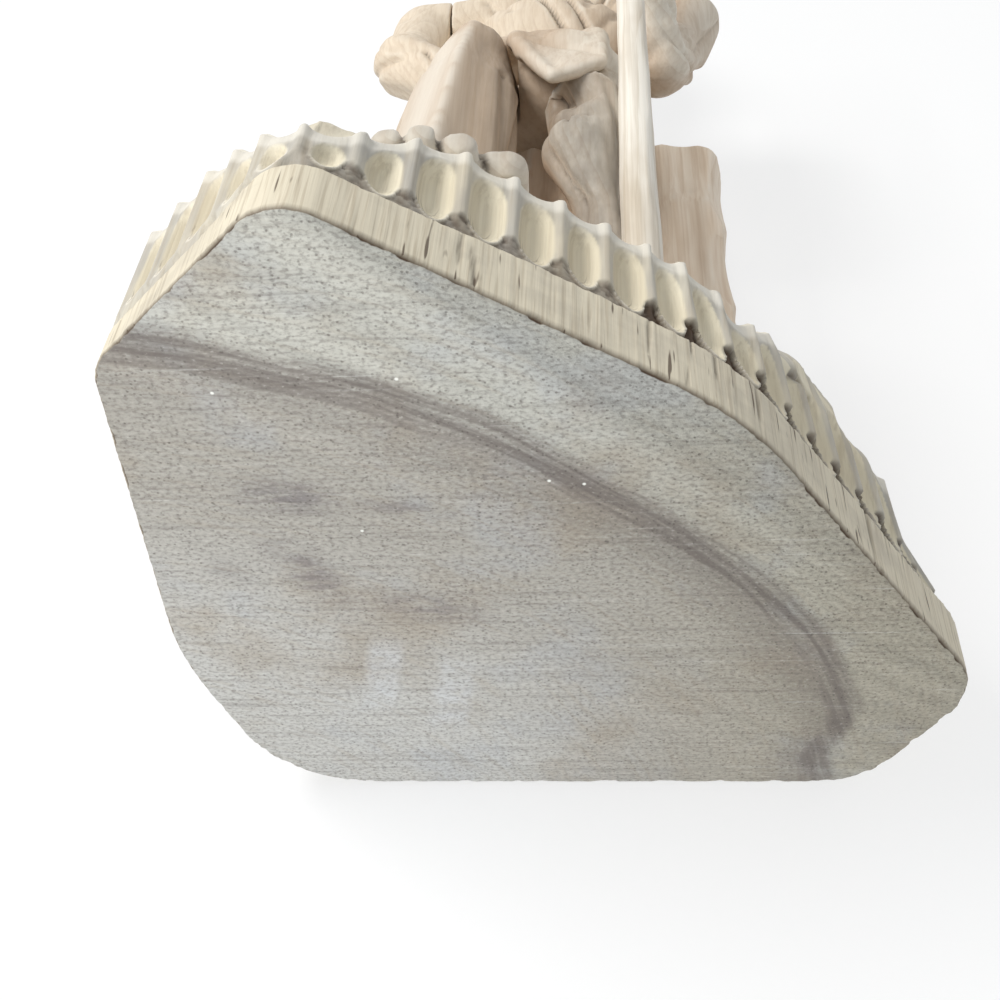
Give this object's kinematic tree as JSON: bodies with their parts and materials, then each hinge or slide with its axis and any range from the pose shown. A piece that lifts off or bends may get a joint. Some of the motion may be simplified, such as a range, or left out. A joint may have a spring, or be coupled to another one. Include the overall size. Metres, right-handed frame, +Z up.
{
  "type": "carved wooden statue",
  "caption": "Carved wooden figure seated on a stump over a fluted log base, holding an upright staff that lifts out of its fist.",
  "frame": {"origin": "middle of the base's sawn underside, in plan the middle of the base's bounding box", "axes": "+Z up along the log, the figure faces -Y, its right side is at -X"},
  "size_m": [0.15, 0.1466, 0.3072],
  "materials": {
    "sapwood": "matte",
    "heartwood": "satin",
    "stump_wood": "satin",
    "peg_wood": "matte"
  },
  "bodies": {
    "statue": {"base": "sapwood", "seat_stump": "stump_wood", "hips_wrap": "heartwood", "right_leg": "heartwood", "left_leg": "heartwood", "torso": "heartwood", "head": "heartwood", "topknot": "heartwood", "right_arm": "heartwood", "left_arm": "heartwood", "right_hand": "heartwood", "left_hand": "heartwood", "stump_dowel_front": "peg_wood", "stump_dowel_back": "peg_wood", "seat_dowel_right": "peg_wood", "seat_dowel_left": "peg_wood", "waist_dowel_right": "peg_wood", "waist_dowel_left": "peg_wood", "neck_dowel": "peg_wood", "topknot_peg": "peg_wood", "shoulder_dowel_right": "peg_wood", "shoulder_dowel_left": "peg_wood", "wrist_peg_right": "peg_wood", "wrist_peg_left": "peg_wood", "knee_peg_right": "peg_wood", "shin_peg_left": "peg_wood", "foot_peg_right": "peg_wood", "foot_peg_left": "peg_wood"},
    "staff": {"staff": "sapwood"}
  },
  "joints": [
    {"name": "staff_lift", "type": "slide", "parent": "statue", "child": "staff", "axis": [0, 0, 1], "range_m": [0, 0.2]}
  ]
}
